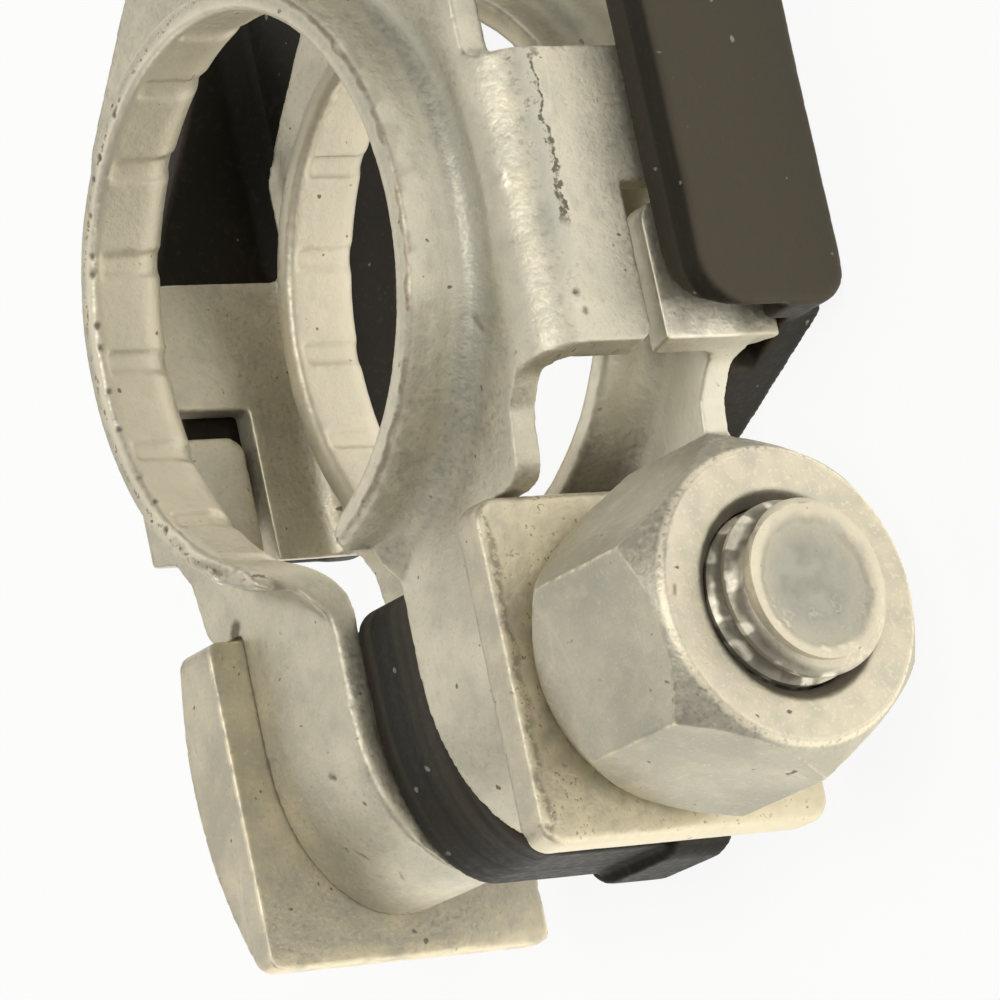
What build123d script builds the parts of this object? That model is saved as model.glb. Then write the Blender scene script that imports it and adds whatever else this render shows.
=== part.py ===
from build123d import *
import os

# Battery terminal clamp folded from one sheet, on a T-bolt, in a moulded plastic saddle.
# Frame in millimetres: the post bore runs along Z through the origin, the bolt runs along X
# through the two ears at -Y, and the saddle's flat underside faces -Z.


# ---------------------------------------------------------------- driving dimensions
SHEET = 1.0            # sheet thickness
BODY_WIDTH = 25.4      # across the two side walls, along X
BODY_DEPTH = 8.6       # across the front and rear sheets, along Z
BEND = 2.0             # outside radius of the two rolled long bends
SHARP_BEND = 0.6       # outside radius of the two pinched long bends
INNER_BEND = 1.0
HALF_Z = BODY_DEPTH / 2
HALF_X = BODY_WIDTH / 2

COLLAR_WALL = 0.9      # drawn collar wall
ROOT_OUT = 1.0         # radius in the valley outside the collar
RIM_ROUND = 0.22
FRONT_BORE_R = 9.2     # post bore of the front collar
FRONT_H = 2.5          # front collar height above its sheet
FRONT_ROOT = 1.6       # draw radius on the bore side of the front collar
REAR_BORE_R = 9.1      # the same three for the rear collar
REAR_H = 2.1
REAR_ROOT = 0.9
REAR_LIFT = SHEET - BODY_DEPTH
GROOVES = 17           # coined grooves round each collar
GROOVE_STEP = 21.0
GROOVE_FIRST = 98.5
GROOVE_ARC = 5.3       # width of a groove in degrees
GROOVE_DEEP = 0.14

WALL_TOP = 3.9         # side walls, along Y
WALL_LOW = -6.1
SHEET_TOP = 14.4
TOP_X = 5.4            # half width of the sheets at their top
FLANK_X = 11.45        # half width above the side walls
FLANK_Y = 8.1
NECK_X = 10.15         # half width of the neck under the ring
NECK_TOP = -7.5
SHOULDER_X = 9.75      # half width at the shoulder
SHOULDER_Y = -9.9      # shoulder over the bolt head and the washer

EAR_X = 7.7            # outer end of each ear channel
SLIT_X = 2.15          # half width of the slit
MOUTH = 2.4            # radius where the slit opens into the bore
SLOPE_IN = 0.25        # where the slope at a collar's end meets its rim, in from the bore
EAR_Y = -14.23         # where the legs of the channel start to curve
EAR_RISE = 5.87        # depth of the curved bottom

SLOT_Z = (-0.58, -0.05)    # seam slot in the side walls
NOTCH_Y = (-1.75, -0.75)   # open notch at the slot's upper end
NOTCH_R = (-1.45, -0.75)   # the same notch in the right wall
NOTCH_LEN = 3.2
NOTCH_ROUND = 0.7
WALL_CORNER = 0.55         # rounded lower corner of each front wall at the slot
FOOT_Z = -5.2              # foot under the right wall's rear corner
FOOT_Y = (WALL_LOW, -3.9)
REAR_SHOULDER = 10.65      # the rear sheet widens again above the nut

BOLT_Y = -15.8
BOLT_R = 2.95
BOLT_TIP = 18.2
TIP_CHAMFER = 0.5
DISH_R = 2.0               # shallow bowl in the bolt's end
DISH_DEEP = 0.36
HEAD_SQ = 11.46
HEAD_IN = -7.72
HEAD_TOP = -10.45          # highest point of the crowned outer face
HEAD_CROWN_R = 13.4
HEAD_CROWN_Y = -14.6
HEAD_CORNER = 0.45
HEAD_EDGE = 0.14

WASHER_SQ = 11.5
WASHER_IN = 7.8
WASHER_T = 1.3
WASHER_CORNER = 0.9
WASHER_EDGE = 0.24

NUT_AF = 10.0
NUT_IN = 9.16
NUT_H = 7.55
NUT_BORE_R = 3.0
NUT_TURN = 7.9         # resting angle of the nut, degrees

PLATE_Z = (-6.6, -4.3)     # saddle base plate
PLATE_HOLE_R = 10.2
PLATE_TOP = 15.6
PLATE_X = 13.2
ARM_X = (12.95, 14.85)     # saddle arms outside the walls
ARM_TOP = 15.6
ARM_LOW = -5.75
ARM_ROUND = 2.4            # height of the rounded lead-in under each arm
ARM_FRONT = -0.8           # front edge of the right arm
ARM_STEP = 0.12            # its outer half stands this much lower
LEFT_FRONT = 1.45          # front edge of the left arm, which slopes down to its top
LEFT_BEND = 2.8
LEFT_TOP = -4.6
ARM_CORNER = 1.8           # rounded front corners of the right arm
ARM_HEEL = 1.3             # rounded lower corner of both arms at the floor
TAB_X = 2.08               # spacer tab in the slit
TAB_TOP = -10.75
TAB_FRONT = 3.55
TAB_LOW = -20.45
TONGUE_X = 3.0
TONGUE_ROOT = -10.4
TONGUE_LOW = -20.9

os.makedirs("parts", exist_ok=True)


# ---------------------------------------------------------------- helper profiles
def strap_outline():
    """Right half of the flat outline of the folded strap, seen along Z."""
    return [
        (0, SHEET_TOP),
        (TOP_X, SHEET_TOP),
        (FLANK_X, FLANK_Y),
        (FLANK_X, WALL_TOP + 0.3),
        (FLANK_X + 0.3, WALL_TOP),
        (HALF_X, WALL_TOP),
        (HALF_X, WALL_LOW),
        (NECK_X + 0.75, NECK_TOP + 1),
        (NECK_X, NECK_TOP),
        (SHOULDER_X, SHOULDER_Y),
        (EAR_X, SHOULDER_Y),
        (EAR_X, EAR_Y),
        (0, EAR_Y),
    ]


def collar_profile(bore, height, root, lift):
    """Closed section of one drawn collar in the XZ plane, lifted along Z."""
    inner = HALF_Z - SHEET + lift
    outer = HALF_Z + lift
    rim = outer + height
    wall = bore + COLLAR_WALL
    flare = bore + root
    valley = wall + ROOT_OUT
    skirt = max(flare, valley) + 0.2
    with BuildLine() as line:
        Line((bore, rim), (bore, inner + root))
        RadiusArc((bore, inner + root), (flare, inner), -root)
        Line((flare, inner), (skirt, inner))
        Line((skirt, inner), (skirt, outer))
        Line((skirt, outer), (valley, outer))
        RadiusArc((valley, outer), (wall, outer + ROOT_OUT), ROOT_OUT)
        Line((wall, outer + ROOT_OUT), (wall, rim))
        Line((wall, rim), (bore, rim))
    return line


def groove_profile(bore, height, root, lift):
    """Section of the coining tool: it follows the bore and its draw radius."""
    inner = HALF_Z - SHEET + lift
    high = HALF_Z + height + lift - 0.4
    deep = bore + GROOVE_DEEP
    with BuildLine() as line:
        Line((bore - 0.5, high), (deep, high))
        Line((deep, high), (deep, inner + root))
        RadiusArc((deep, inner + root), (bore + 0.75 * root, inner + 0.07 * root), -1.02 * root)
        Line((bore + 0.75 * root, inner + 0.07 * root), (bore + 0.75 * root, inner - 0.3))
        Line((bore + 0.75 * root, inner - 0.3), (bore - 0.5, inner - 0.3))
        Line((bore - 0.5, inner - 0.3), (bore - 0.5, high))
    return line


COLLARS = (
    (FRONT_BORE_R, FRONT_H, FRONT_ROOT, 0),
    (REAR_BORE_R, REAR_H, REAR_ROOT, REAR_LIFT),
)


# ---------------------------------------------------------------- coining tools
def coining_tool(collar):
    """Ring of small tools, one for each groove of a collar."""
    with BuildPart() as tool:
        with BuildSketch(Plane.XZ):
            add(groove_profile(*collar))
            make_face()
        revolve(axis=Axis.Z, revolution_arc=GROOVE_ARC)
    with BuildPart() as ring:
        for index in range(GROOVES):
            turn = -(GROOVE_FIRST + GROOVE_STEP * index) - GROOVE_ARC / 2
            with Locations(Location((0, 0, 0), (0, 0, turn))):
                add(tool.part)
    return ring


coining = [coining_tool(collar) for collar in COLLARS]


# ---------------------------------------------------------------- folded clamp strap
with BuildPart() as clamp_strap:
    # long box fold: front sheet, rear sheet and the two side walls
    with BuildSketch(Plane.XZ.offset(-SHEET_TOP)) as box_fold:
        Rectangle(BODY_WIDTH, BODY_DEPTH)
        fillet([v for v in box_fold.vertices() if v.X * v.Y < 0], SHARP_BEND)
        fillet([v for v in box_fold.vertices() if v.X * v.Y > HALF_X * HALF_Z - 0.1], BEND)
        RectangleRounded(BODY_WIDTH - 2 * SHEET, BODY_DEPTH - 2 * SHEET, INNER_BEND, mode=Mode.SUBTRACT)
    extrude(amount=SHEET_TOP - EAR_Y)
    # flat outline with the neck and the shoulders
    with BuildSketch(Plane.XY.offset(-HALF_Z - 1)) as outline:
        with BuildLine():
            Polyline(strap_outline())
            mirror(about=Plane.YZ)
        make_face()
        corners = outline.vertices()
        fillet([v for v in corners if abs(abs(v.X) - TOP_X) < 0.01], 2.5)
        corners = outline.vertices()
        fillet([v for v in corners if abs(v.Y - FLANK_Y) < 0.01], 3.0)
        corners = outline.vertices()
        fillet([v for v in corners if NECK_TOP - 0.1 < v.Y < NECK_TOP + 1.1], 0.7)
        corners = outline.vertices()
        fillet([v for v in corners if abs(abs(v.X) - SHOULDER_X) < 0.01 and abs(v.Y - SHOULDER_Y) < 0.01], 0.9)
    extrude(amount=BODY_DEPTH + 2, mode=Mode.INTERSECT)
    # folded bottom of the ear channels
    with BuildSketch(Plane.YZ.offset(-EAR_X)) as fold:
        with Locations((EAR_Y, 0)):
            Ellipse(EAR_RISE, HALF_Z)
            Ellipse(EAR_RISE - SHEET, HALF_Z - SHEET, mode=Mode.SUBTRACT)
        with Locations((EAR_Y + 5, 0)):
            Rectangle(10, 20, mode=Mode.SUBTRACT)
    extrude(amount=2 * EAR_X)
    # foot under the right wall's rear corner, and the wider shoulder of the rear sheet
    foot_low, foot_high = FOOT_Y
    with BuildSketch(Plane.XZ.offset(-foot_low)) as foot:
        with BuildLine():
            Polyline(
                (HALF_X, -HALF_Z + SHARP_BEND),
                (HALF_X, FOOT_Z),
                (HALF_X - 0.6, FOOT_Z),
                (HALF_X - 1.8, -HALF_Z),
                (HALF_X - 1.8, -HALF_Z + SHARP_BEND),
                close=True,
            )
        make_face()
        fillet([v for v in foot.vertices() if abs(v.Y - FOOT_Z) < 0.01], 0.2)
    extrude(amount=foot_low - foot_high)
    with BuildSketch(Plane.XY.offset(-HALF_Z)):
        with BuildLine():
            Polyline(
                (NECK_X - 0.4, NECK_TOP - 0.6),
                (REAR_SHOULDER, SHOULDER_Y),
                (EAR_X + 1, SHOULDER_Y),
                (EAR_X + 1, NECK_TOP - 0.6),
                close=True,
            )
        make_face()
    extrude(amount=SHEET)
    # a hole in each sheet, then its drawn collar
    for bore, height, root, lift in COLLARS:
        with BuildSketch(Plane.XY.offset(HALF_Z - SHEET + lift - 0.01)):
            Circle(bore + root + 0.1)
        extrude(amount=SHEET + 0.02, mode=Mode.SUBTRACT)
        with BuildSketch(Plane.XZ):
            add(collar_profile(bore, height, root, lift))
            make_face()
        revolve(axis=Axis.Z)
        rim = HALF_Z + height + lift
        rims = clamp_strap.edges().filter_by(GeomType.CIRCLE)
        fillet([e for e in rims if abs(e.center().Z - rim) < 0.01], RIM_ROUND)
    # at the slit each collar slopes down into its ear
    for bore, height, root, lift in COLLARS:
        base = HALF_Z + lift
        rim = base + height
        slope_y = SLOPE_IN - bore
        for side in (-1, 1):
            with BuildSketch(Plane.YZ.offset(side * 1.5)):
                with BuildLine():
                    Polyline(
                        (-9.6, base - 0.2),
                        (-9.6, rim - 9.6 - slope_y),
                        (slope_y - height, base),
                        (slope_y - height, base - 0.2),
                        close=True,
                    )
                make_face()
            with BuildSketch(Plane.YZ.offset(side * 5)):
                with BuildLine():
                    Polyline(
                        (-8.35, base - 0.2),
                        (-8.35, base + 0.7),
                        (-9.05, base),
                        (-9.05, base - 0.2),
                        close=True,
                    )
                make_face()
            loft()
            # the rim droops where it meets the slit
            with BuildSketch(Plane.YZ.offset(side * 1.2)):
                with BuildLine():
                    Polyline((slope_y, rim), (-11, rim), (-11, rim - 11 - slope_y), close=True)
                make_face()
            with BuildSketch(Plane.YZ.offset(side * 3.8)):
                with BuildLine():
                    Polyline((slope_y, rim + 0.9), (-11, rim + 0.9), (-11, rim - 10.1 - slope_y), close=True)
                make_face()
            loft(mode=Mode.SUBTRACT)
    # slit from the bore down through both ears, rounded where one runs into the other
    for bore, height, root, lift in COLLARS:
        with BuildSketch(Plane.XY.offset(HALF_Z - SHEET + lift - 0.5)) as keyhole:
            Circle(bore)
            with Locations((0, -11)):
                Rectangle(2 * SLIT_X, 6)
            mouth = [v for v in keyhole.vertices() if abs(abs(v.X) - SLIT_X) < 0.01 and v.Y > -12]
            fillet(mouth, MOUTH)
        extrude(amount=SHEET + height + 1, mode=Mode.SUBTRACT)
    with BuildSketch(Plane.XY.offset(-HALF_Z - 1)):
        with Locations((0, -17)):
            Rectangle(2 * SLIT_X, 10)
    extrude(amount=BODY_DEPTH + 2, mode=Mode.SUBTRACT)
    # seam slot and open notch in each side wall
    seam_low, seam_high = SLOT_Z
    seam_mid = (seam_low + seam_high) / 2
    for side, (notch_low, notch_high) in ((-1, NOTCH_Y), (1, NOTCH_R)):
        notch_end = seam_high - NOTCH_LEN if side > 0 else seam_low + NOTCH_LEN
        with BuildSketch(Plane.YZ.offset(side * HALF_X)) as seam:
            with Locations(((WALL_LOW + notch_high) / 2 - 0.5, seam_mid)):
                Rectangle(notch_high - WALL_LOW + 1, seam_high - seam_low)
            with Locations(((notch_low + notch_high) / 2, (notch_end + seam_mid) / 2)):
                Rectangle(notch_high - notch_low, abs(notch_end - seam_mid))
            turns = [v for v in seam.vertices() if abs(v.X - notch_low) < 0.01 and abs(v.Y - seam_mid) < 1]
            fillet(turns, NOTCH_ROUND)
        extrude(amount=3 * SHEET / 2, both=True, mode=Mode.SUBTRACT)
    low_ends = [e for e in clamp_strap.edges() if abs(e.center().Z - seam_high) < 0.01]
    low_ends = [e for e in low_ends if abs(e.center().Y - WALL_LOW) < 0.4 and e.length < 1.5]
    fillet(low_ends, WALL_CORNER)
    # coined grooves round both bores
    add([g.part for g in coining], mode=Mode.SUBTRACT)

clamp_strap.part.label = "clamp_strap"
export_step(clamp_strap.part, "parts/clamp_strap.step")


# ---------------------------------------------------------------- T-head bolt
with BuildPart() as t_bolt:
    with BuildSketch(Plane.XY.offset(-HEAD_SQ / 2)):
        with Locations((HEAD_TOP + HEAD_CROWN_R, HEAD_CROWN_Y)):
            Circle(HEAD_CROWN_R)
        with Locations((HEAD_IN - 10, BOLT_Y)):
            Rectangle(20, HEAD_SQ, mode=Mode.INTERSECT)
    extrude(amount=HEAD_SQ)
    fillet(t_bolt.edges().filter_by(Axis.X), HEAD_CORNER)
    outside = t_bolt.faces().filter_by(GeomType.CYLINDER).sort_by(SortBy.AREA)[-1]
    fillet(outside.edges(), HEAD_EDGE)
    with BuildSketch(Plane.YZ.offset(HEAD_IN - 0.4)):
        with Locations((BOLT_Y, 0)):
            Circle(BOLT_R)
    extrude(amount=BOLT_TIP - HEAD_IN + 0.4)
    tip = t_bolt.edges().filter_by(GeomType.CIRCLE).sort_by(Axis.X)[-1]
    chamfer(tip, TIP_CHAMFER)
    bowl_r = (DISH_R**2 + DISH_DEEP**2) / (2 * DISH_DEEP)
    with Locations((BOLT_TIP - DISH_DEEP + bowl_r, BOLT_Y, 0)):
        Sphere(bowl_r, mode=Mode.SUBTRACT)

t_bolt.part.label = "t_bolt"
export_step(t_bolt.part, "parts/t_bolt.step")


# ---------------------------------------------------------------- square washer
with BuildPart() as square_washer:
    with BuildSketch(Plane.YZ.offset(WASHER_IN)):
        with Locations((BOLT_Y, 0)):
            RectangleRounded(WASHER_SQ, WASHER_SQ, WASHER_CORNER)
            Circle(BOLT_R + 0.3, mode=Mode.SUBTRACT)
    extrude(amount=WASHER_T)
    outer_face = square_washer.faces().sort_by(Axis.X)[-1]
    inner_face = square_washer.faces().sort_by(Axis.X)[0]
    fillet(outer_face.outer_wire().edges(), WASHER_EDGE)
    fillet(inner_face.outer_wire().edges(), WASHER_EDGE)

square_washer.part.label = "square_washer"
export_step(square_washer.part, "parts/square_washer.step")


# ---------------------------------------------------------------- tall hexagon nut
with BuildPart() as hex_nut:
    with BuildSketch(Plane.YZ.offset(NUT_IN)):
        with Locations((BOLT_Y, 0)):
            RegularPolygon(NUT_AF / 2, 6, major_radius=False, rotation=NUT_TURN)
    extrude(amount=NUT_H)
    # turned ends: a wide chamfer outside and a small one at the washer
    nut_top = NUT_IN + NUT_H
    corner = NUT_AF / 2 / 0.866
    with BuildSketch(Plane.XY):
        with BuildLine():
            Polyline(
                (NUT_IN, BOLT_Y),
                (NUT_IN, BOLT_Y - 4.66),
                (NUT_IN + 0.2, BOLT_Y - 4.86),
                (NUT_IN + 1.7, BOLT_Y - corner - 0.05),
                (nut_top - 1.35, BOLT_Y - corner - 0.05),
                (nut_top - 0.15, BOLT_Y - 4.86),
                (nut_top, BOLT_Y - 4.68),
                (nut_top, BOLT_Y),
                close=True,
            )
        make_face()
    revolve(axis=Axis((0, BOLT_Y, 0), (1, 0, 0)), mode=Mode.INTERSECT)
    with BuildSketch(Plane.YZ.offset(NUT_IN)):
        with Locations((BOLT_Y, 0)):
            Circle(NUT_BORE_R)
    extrude(amount=NUT_H, mode=Mode.SUBTRACT)
    mouths = hex_nut.edges().filter_by(GeomType.CIRCLE)
    mouths = [e for e in mouths if abs(e.radius - NUT_BORE_R) < 0.01]
    chamfer(mouths, 0.42)

hex_nut.part.label = "hex_nut"
export_step(hex_nut.part, "parts/hex_nut.step")


# ---------------------------------------------------------------- moulded plastic saddle
def plate_outline():
    """Right half of the base plate, seen along Z."""
    return [
        (0, PLATE_TOP),
        (PLATE_X, PLATE_TOP),
        (PLATE_X, -5.55),
        (7.75, -8.1),
        (TONGUE_X, TONGUE_ROOT),
        (TONGUE_X, TONGUE_LOW),
        (0, TONGUE_LOW),
    ]


with BuildPart() as plastic_saddle:
    plate_low, plate_high = PLATE_Z
    with BuildSketch(Plane.XY.offset(plate_low)) as plate:
        with BuildLine():
            Polyline(plate_outline())
            mirror(about=Plane.YZ)
        make_face()
        fillet([v for v in plate.vertices() if abs(v.Y - PLATE_TOP) < 0.01 and abs(v.X) > 1], 2.0)
        fillet([v for v in plate.vertices() if abs(v.Y - TONGUE_ROOT) < 0.01], 1.5)
        fillet([v for v in plate.vertices() if abs(v.Y - TONGUE_LOW) < 0.01 and abs(v.X) > 1], 1.5)
        Circle(PLATE_HOLE_R, mode=Mode.SUBTRACT)
    extrude(amount=plate_high - plate_low)
    # arms that stand up outside the two walls, rounded underneath on the inside
    arm_in, arm_out = ARM_X
    arm_thick = arm_out - arm_in
    lead_r = (arm_thick**2 + ARM_ROUND**2) / (2 * arm_thick)
    arm_mid = (arm_in + arm_out) / 2
    for inner, outer, front in ((arm_in, arm_mid, ARM_FRONT), (arm_mid, arm_out, ARM_FRONT - ARM_STEP)):
        with BuildSketch(Plane.YZ.offset(inner)) as arm:
            with Locations(((ARM_TOP + ARM_LOW) / 2, (front + plate_low) / 2)):
                Rectangle(ARM_TOP - ARM_LOW, front - plate_low)
            fillet([v for v in arm.vertices() if v.Y > front - 0.01], ARM_CORNER)
            fillet([v for v in arm.vertices() if v.Y < plate_low + 0.01 and v.X < 0], ARM_HEEL)
        extrude(amount=outer - inner)
    with BuildSketch(Plane.YZ.offset(-arm_out)) as arm:
        with BuildLine():
            Polyline(
                (ARM_LOW, plate_low),
                (ARM_LOW, LEFT_FRONT - 2),
                (ARM_LOW + ARM_ROUND, LEFT_FRONT),
                (LEFT_BEND, LEFT_FRONT),
                (ARM_TOP, LEFT_TOP),
                (ARM_TOP, plate_low),
                close=True,
            )
        make_face()
        fillet([v for v in arm.vertices() if v.Y > LEFT_TOP - 0.01], WALL_CORNER)
        fillet([v for v in arm.vertices() if v.Y < plate_low + 0.01 and v.X < 0], ARM_HEEL)
    extrude(amount=arm_thick)
    for side in (-1, 1):
        with BuildSketch(Plane.XY.offset(plate_high)):
            with BuildLine():
                RadiusArc(
                    (side * arm_in, ARM_LOW + ARM_ROUND),
                    (side * arm_out, ARM_LOW),
                    -side * lead_r,
                )
                Polyline(
                    (side * arm_out, ARM_LOW),
                    (side * arm_out, ARM_LOW - 0.5),
                    (side * (arm_in - 0.1), ARM_LOW - 0.5),
                    (side * (arm_in - 0.1), ARM_LOW + ARM_ROUND),
                    (side * arm_in, ARM_LOW + ARM_ROUND),
                )
            make_face()
        extrude(amount=LEFT_FRONT - plate_high + 1, mode=Mode.SUBTRACT)
    # rebate in the base plate for the strap's foot
    with BuildSketch(Plane.XY.offset(plate_high)):
        with Locations((HALF_X - 0.8, (foot_low + foot_high) / 2 - 0.5)):
            Rectangle(2.3, foot_high - foot_low + 1.2)
    extrude(amount=FOOT_Z - 0.06 - plate_high, mode=Mode.SUBTRACT)
    # spacer tab that fills the slit between the ears
    with BuildSketch(Plane.YZ.offset(-TAB_X)) as tab:
        with Locations((EAR_Y, 0)):
            Ellipse(EAR_Y - TAB_LOW, TAB_FRONT)
        with Locations((EAR_Y + 5, 0)):
            Rectangle(10, 20, mode=Mode.SUBTRACT)
        with Locations(((TAB_TOP + EAR_Y) / 2, 0)):
            Rectangle(TAB_TOP - EAR_Y, 2 * TAB_FRONT)
        with Locations(((TAB_TOP + TAB_LOW) / 2, plate_low / 2)):
            Rectangle(TAB_TOP - TAB_LOW, -plate_low)
        fillet([v for v in tab.vertices() if v.Y > TAB_FRONT - 0.01 and v.X > TAB_TOP - 0.1], 1.1)
    extrude(amount=2 * TAB_X)
    # bolt hole through the tab
    with BuildSketch(Plane.YZ.offset(-TAB_X)):
        with Locations((BOLT_Y, 0)):
            Circle(BOLT_R + 0.06)
    extrude(amount=2 * TAB_X, mode=Mode.SUBTRACT)

plastic_saddle.part.label = "plastic_saddle"
export_step(plastic_saddle.part, "parts/plastic_saddle.step")

for piece in (clamp_strap, t_bolt, square_washer, hex_nut, plastic_saddle):
    box = piece.part.bounding_box()
    print(piece.part.label, "solids", len(piece.part.solids()), "volume %.1f" % piece.part.volume, box.min, box.max)
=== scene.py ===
# %% [markdown]
# # Battery terminal clamp
# A folded strap grips a battery post with two drawn collars. A T-bolt, a square washer and a
# hex nut pull its two ears together, and a dark moulded saddle stands behind it.
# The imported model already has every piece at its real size, so it is opened as a fixed frame
# and this lesson gives the pieces their worn edges, thread, knocks and finishes.

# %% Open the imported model
import math

import bmesh
import bpy
import numpy as np
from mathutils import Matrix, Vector, kdtree, noise
from mathutils.bvhtree import BVHTree


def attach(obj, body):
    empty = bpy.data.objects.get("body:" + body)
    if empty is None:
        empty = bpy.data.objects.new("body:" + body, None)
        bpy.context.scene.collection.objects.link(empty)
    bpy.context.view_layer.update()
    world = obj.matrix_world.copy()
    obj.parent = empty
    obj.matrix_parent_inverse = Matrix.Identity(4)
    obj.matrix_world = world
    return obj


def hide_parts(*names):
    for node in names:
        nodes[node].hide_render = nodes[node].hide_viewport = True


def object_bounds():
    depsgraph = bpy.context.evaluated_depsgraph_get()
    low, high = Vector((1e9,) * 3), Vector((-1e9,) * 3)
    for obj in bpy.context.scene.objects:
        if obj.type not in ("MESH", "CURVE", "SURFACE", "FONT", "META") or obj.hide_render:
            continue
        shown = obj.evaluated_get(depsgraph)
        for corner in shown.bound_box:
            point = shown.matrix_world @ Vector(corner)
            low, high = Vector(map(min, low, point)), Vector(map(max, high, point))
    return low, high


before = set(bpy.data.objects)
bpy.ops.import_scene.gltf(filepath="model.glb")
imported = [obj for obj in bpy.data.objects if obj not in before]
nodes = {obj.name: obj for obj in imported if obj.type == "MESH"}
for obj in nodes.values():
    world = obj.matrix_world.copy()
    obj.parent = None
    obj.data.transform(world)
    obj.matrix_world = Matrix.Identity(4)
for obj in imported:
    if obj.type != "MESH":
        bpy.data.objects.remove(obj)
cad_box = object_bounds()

MM = 0.001
print("pieces in the frame:", sorted(nodes))

# %% [markdown]
# ## Camera
# The clamp is seen from the nut's side and from above, with a long lens and the picture turned
# so that the bolt hangs low. A camera could be turned by three angles, but a place, a point to
# look at and the direction that is up in the picture are easier to read and to change.

# %% Aim the camera
CAMERA_PLACE = Vector((171.15, -53.64, 122.16)) * MM
CAMERA_AIM = Vector((-0.42, -7.63, -2.24)) * MM
PICTURE_UP = Vector((0.284, 0.957, -0.053))
LENS = 231.2
SENSOR_WIDTH = 36

camera = bpy.data.objects.new("camera", bpy.data.cameras.new("camera"))
bpy.context.scene.collection.objects.link(camera)
backward = (CAMERA_PLACE - CAMERA_AIM).normalized()
sideways = PICTURE_UP.cross(backward).normalized()
upward = backward.cross(sideways)
turn = camera.matrix_world.to_3x3()
for row in range(3):
    turn[row] = (sideways[row], upward[row], backward[row])
camera.matrix_world = turn.to_4x4()
camera.location = CAMERA_PLACE
camera.data.lens = LENS
camera.data.sensor_width = SENSOR_WIDTH
camera.data.clip_start = 0.005
camera.data.clip_end = 10
bpy.context.scene.camera = camera
print("camera distance in mm:", round((CAMERA_PLACE - CAMERA_AIM).length / MM, 1))

# %% [markdown]
# ## Light
# Small plated parts are shown in a light tent: white all round, with one softer side so that
# bends still read. The world gives the even white, and large lamps give the slope.

# %% White world and soft lamps
bpy.context.scene.view_settings.view_transform = "Standard"


def put(tree, kind, **settings):
    """Adds a shader node; ins maps each input to a plain value or to another node's output."""
    node = tree.nodes.new(kind)
    for name, value in settings.items():
        if name == "ins":
            for socket, content in value.items():
                if isinstance(content, bpy.types.NodeSocket):
                    tree.links.new(content, node.inputs[socket])
                else:
                    node.inputs[socket].default_value = content
        else:
            setattr(node, name, value)
    return node


WHITE_LIGHT = (1, 0.985, 0.955)
TENT_GLOW = 0.19
LAMP_SIZE = 200

world = bpy.data.worlds.new("light_tent")
bpy.context.scene.world = world
world.use_nodes = True
sky = world.node_tree
sky.nodes.clear()
rays = put(sky, "ShaderNodeLightPath")
tent = put(sky, "ShaderNodeBackground", ins={"Color": (*WHITE_LIGHT, 1), "Strength": TENT_GLOW})
seen = put(sky, "ShaderNodeBackground", ins={"Color": (1, 1, 1, 1), "Strength": 1.0})
pick = put(sky, "ShaderNodeMixShader", ins={
    0: rays.outputs["Is Camera Ray"], 1: tent.outputs[0], 2: seen.outputs[0]
})
put(sky, "ShaderNodeOutputWorld", ins={"Surface": pick.outputs[0]})

SOFT_LAMPS = (
    ("lamp_high_right", (230, 20, 260), 0.50),
    ("lamp_nut_side", (320, -90, 70), 0.10),
    ("lamp_over", (-60, 60, 330), 0.18),
    ("lamp_left", (-260, 0, 200), 0.15),
    ("lamp_left_low", (-200, -240, 120), 0.20),
    ("lamp_left_top", (-180, 230, 180), 0.18),
)
for name, place, power in SOFT_LAMPS:
    lamp = bpy.data.objects.new(name, bpy.data.lights.new(name, "AREA"))
    lamp.data.size = LAMP_SIZE * MM
    lamp.data.energy = power
    lamp.data.color = WHITE_LIGHT
    lamp.location = Vector(place) * MM
    lamp.rotation_euler = (lamp.location - CAMERA_AIM).to_track_quat("Z", "Y").to_euler()
    bpy.context.scene.collection.objects.link(lamp)
print("soft lamps:", len(SOFT_LAMPS))

# %% [markdown]
# ## Floor
# The clamp lies on its saddle on a pale lit table, as small parts do in a light tent. The table
# sends light up into the collars and the undersides. To the camera it is almost white and keeps
# a soft shadow, so what the camera sees is mostly even light and the rest is real shade.

# %% Pale floor
SEEN_GLOW = 0.90
TABLE_GLOW = 0.75

bed = bmesh.new()
bmesh.ops.create_grid(bed, x_segments=1, y_segments=1, size=1.5)
bmesh.ops.translate(bed, verts=bed.verts, vec=(0, 0, cad_box[0][2] - 0.00002))
floor_mesh = bpy.data.meshes.new("floor")
bed.to_mesh(floor_mesh)
bed.free()
floor = bpy.data.objects.new("floor", floor_mesh)
bpy.context.scene.collection.objects.link(floor)

pale = bpy.data.materials.new("pale_table")
pale.use_nodes = True
tree = pale.node_tree
tree.nodes.clear()
ray = put(tree, "ShaderNodeLightPath")
matt = put(tree, "ShaderNodeBsdfDiffuse", ins={"Color": (0.9, 0.9, 0.9, 1)})
white = put(tree, "ShaderNodeEmission", ins={"Color": (1, 1, 1, 1)})
warm = put(tree, "ShaderNodeEmission", ins={"Color": (*WHITE_LIGHT, 1), "Strength": TABLE_GLOW})
to_camera = put(tree, "ShaderNodeMixShader", ins={0: SEEN_GLOW, 1: matt.outputs[0], 2: white.outputs[0]})
to_object = put(tree, "ShaderNodeAddShader", ins={0: matt.outputs[0], 1: warm.outputs[0]})
mixed = put(tree, "ShaderNodeMixShader", ins={
    0: ray.outputs["Is Camera Ray"], 1: to_object.outputs[0], 2: to_camera.outputs[0]
})
put(tree, "ShaderNodeOutputMaterial", ins={"Surface": mixed.outputs[0]})
floor_mesh.materials.append(pale)
print("floor height in mm:", round(floor.data.vertices[0].co.z / MM, 2))


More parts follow.
